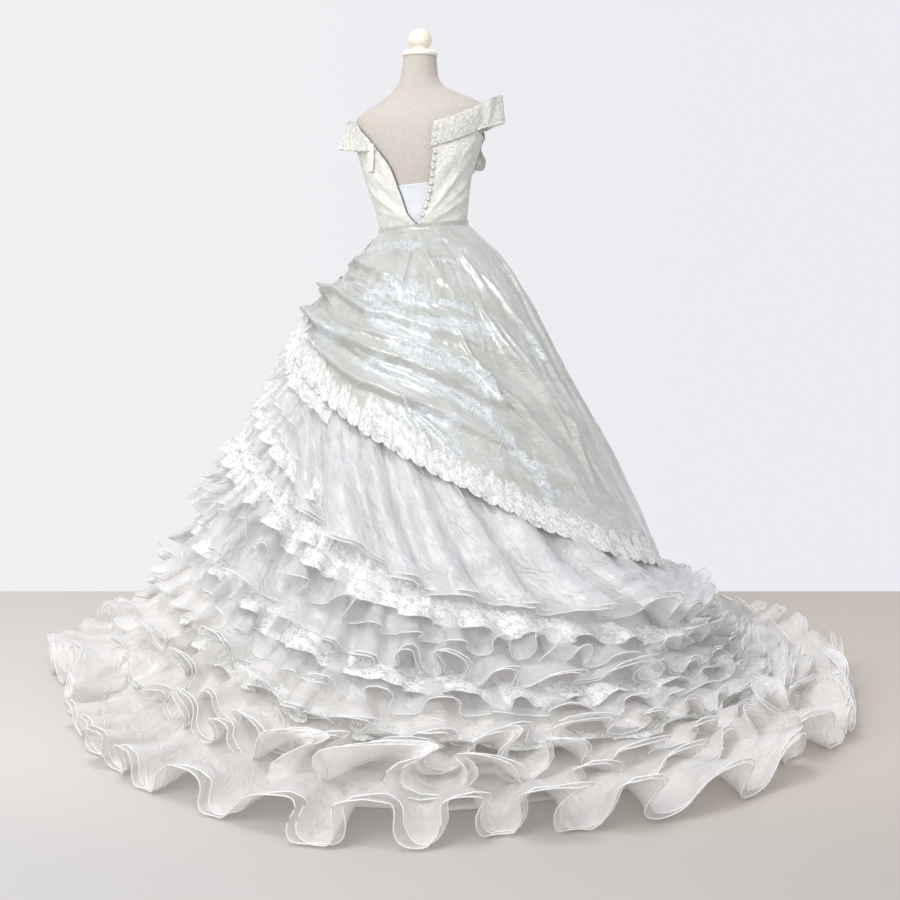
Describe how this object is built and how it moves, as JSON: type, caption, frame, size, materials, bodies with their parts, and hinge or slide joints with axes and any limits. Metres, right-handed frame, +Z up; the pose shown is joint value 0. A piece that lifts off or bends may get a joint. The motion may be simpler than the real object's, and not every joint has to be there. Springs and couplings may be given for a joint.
{
  "type": "wedding dress on a limbless dress form",
  "caption": "Off-shoulder lace ball gown with an open back, a draped crystal-organza overskirt and a long ruffled train, standing on a limbless linen dress form with a round base.",
  "frame": {"origin": "on the floor, on the axis of the stand, at the underside of its round base", "axes": "+Z up, the wearer faces +Y, the train lies towards -Y, +X is the wearer's right"},
  "size_m": [1.9177, 1.9881, 1.59],
  "materials": {
    "linen": "plain weave linen",
    "painted_wood": "cream paint, satin",
    "stand_metal": "white powder coat",
    "bodice_lace": "corded lace over ivory satin",
    "bodice_satin": "ivory satin",
    "inner_satin": "white satin",
    "lace": "corded floral lace",
    "crystal_organza": "shiny crinkled crystal organza",
    "organza": "sheer organza with piped edges",
    "skirt_lining": "matt lining with a warm tint",
    "pearl": "pearly satin button",
    "zip": "nylon coil",
    "ribbon": "plain satin ribbon"
  },
  "bodies": {
    "root": {"bodice_back_left": "bodice_lace", "bodice_back_right": "bodice_lace", "bodice_front": "bodice_lace", "bodice_side_left": "bodice_lace", "bodice_side_right": "bodice_lace", "button_01": "pearl", "button_02": "pearl", "button_03": "pearl", "button_04": "pearl", "button_05": "pearl", "button_06": "pearl", "button_07": "pearl", "button_08": "pearl", "button_09": "pearl", "button_10": "pearl", "button_11": "pearl", "button_12": "pearl", "button_13": "pearl", "form_base": "stand_metal", "form_finial": "painted_wood", "form_flange": "stand_metal", "form_neck_cap": "painted_wood", "form_pole": "stand_metal", "form_torso": "linen", "front_flounce": "lace", "gore_back_left": "skirt_lining", "gore_back_right": "skirt_lining", "gore_front_left": "skirt_lining", "gore_front_right": "skirt_lining", "gore_left_back": "skirt_lining", "gore_left_front": "skirt_lining", "gore_right_back": "skirt_lining", "gore_right_front": "skirt_lining", "inner_panel": "inner_satin", "label_ribbon": "ribbon", "left_ruffle_1": "lace", "left_ruffle_2": "organza", "left_ruffle_3": "lace", "overskirt_back_left": "crystal_organza", "overskirt_back_right": "crystal_organza", "overskirt_front": "crystal_organza", "overskirt_lace_back_left": "lace", "overskirt_lace_back_right": "lace", "overskirt_lace_front": "lace", "sleeve_left": "lace", "sleeve_right": "lace", "tier_1_organza": "organza", "tier_2_lace": "lace", "tier_3_organza": "organza", "tier_4_lace": "lace", "tier_5_organza": "organza", "tier_6_organza": "organza", "waistband": "bodice_satin", "zip_slider": "zip", "zip_tape_left": "zip"}
  },
  "joints": []
}
